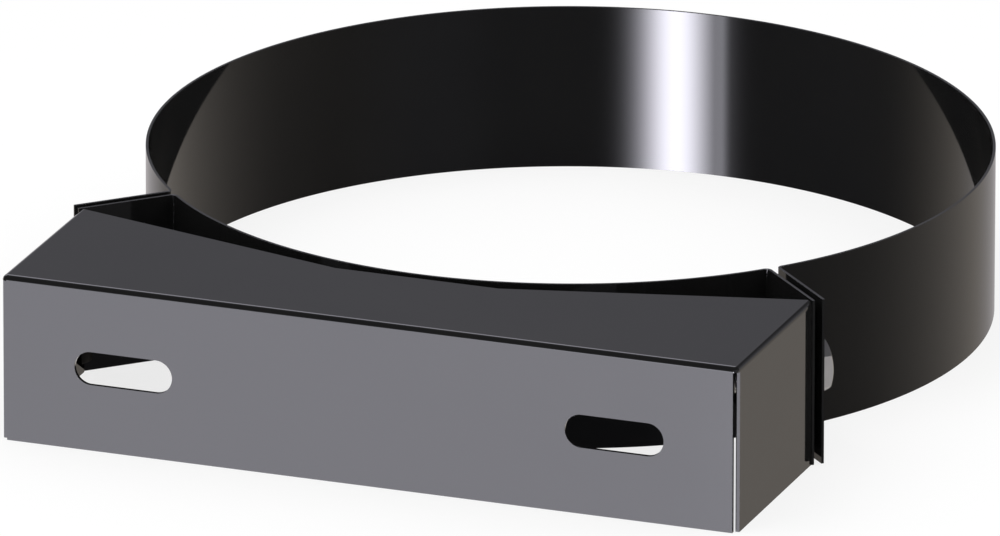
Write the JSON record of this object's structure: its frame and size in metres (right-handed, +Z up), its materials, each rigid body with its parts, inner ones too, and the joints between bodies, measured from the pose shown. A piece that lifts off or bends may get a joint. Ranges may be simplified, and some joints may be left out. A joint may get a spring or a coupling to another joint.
{
  "type": "flue pipe wall bracket",
  "caption": "Wall bracket that holds a flue pipe in a bolted strap clamp, standing off the wall on a folded sheet-metal box with slotted fixing holes.",
  "frame": {"origin": "on the flue axis, at the middle of the height of the straps", "axes": "+X along the wall plate, +Y away from the wall, +Z up along the flue"},
  "size_m": [0.2476, 0.2903, 0.05],
  "materials": {
    "gloss_black": "gloss",
    "zinc_steel": "zinc plated"
  },
  "bodies": {
    "bracket": {"wall_box": "gloss_black", "saddle": "gloss_black", "clamp_band": "gloss_black", "weld_left": "gloss_black", "weld_right": "gloss_black"},
    "left_bolt": {"bolt_left": "zinc_steel"},
    "right_bolt": {"bolt_right": "zinc_steel"},
    "left_nut": {"nut_left": "zinc_steel"},
    "right_nut": {"nut_right": "zinc_steel"}
  },
  "joints": [
    {"name": "left_bolt_turn", "type": "hinge", "parent": "bracket", "child": "left_bolt", "pos_m": [-0.09815, -0.09815, 0], "axis": [-0.7071, 0.7071, 0], "range_deg": [0, 2880]},
    {"name": "left_nut_run", "type": "slide", "parent": "bracket", "child": "left_nut", "axis": [0.7071, -0.7071, 0], "range_m": [0, 0.012]},
    {"name": "right_bolt_turn", "type": "hinge", "parent": "bracket", "child": "right_bolt", "pos_m": [0.09815, -0.09815, 0], "axis": [0.7071, 0.7071, 0], "range_deg": [0, 2880]},
    {"name": "right_nut_run", "type": "slide", "parent": "bracket", "child": "right_nut", "axis": [-0.7071, -0.7071, 0], "range_m": [0, 0.012]}
  ],
  "couplings": [
    {"joint": "left_nut_run", "follows": "left_bolt_turn", "m_per_rad": 0.00023873},
    {"joint": "right_nut_run", "follows": "right_bolt_turn", "m_per_rad": 0.00023873}
  ]
}
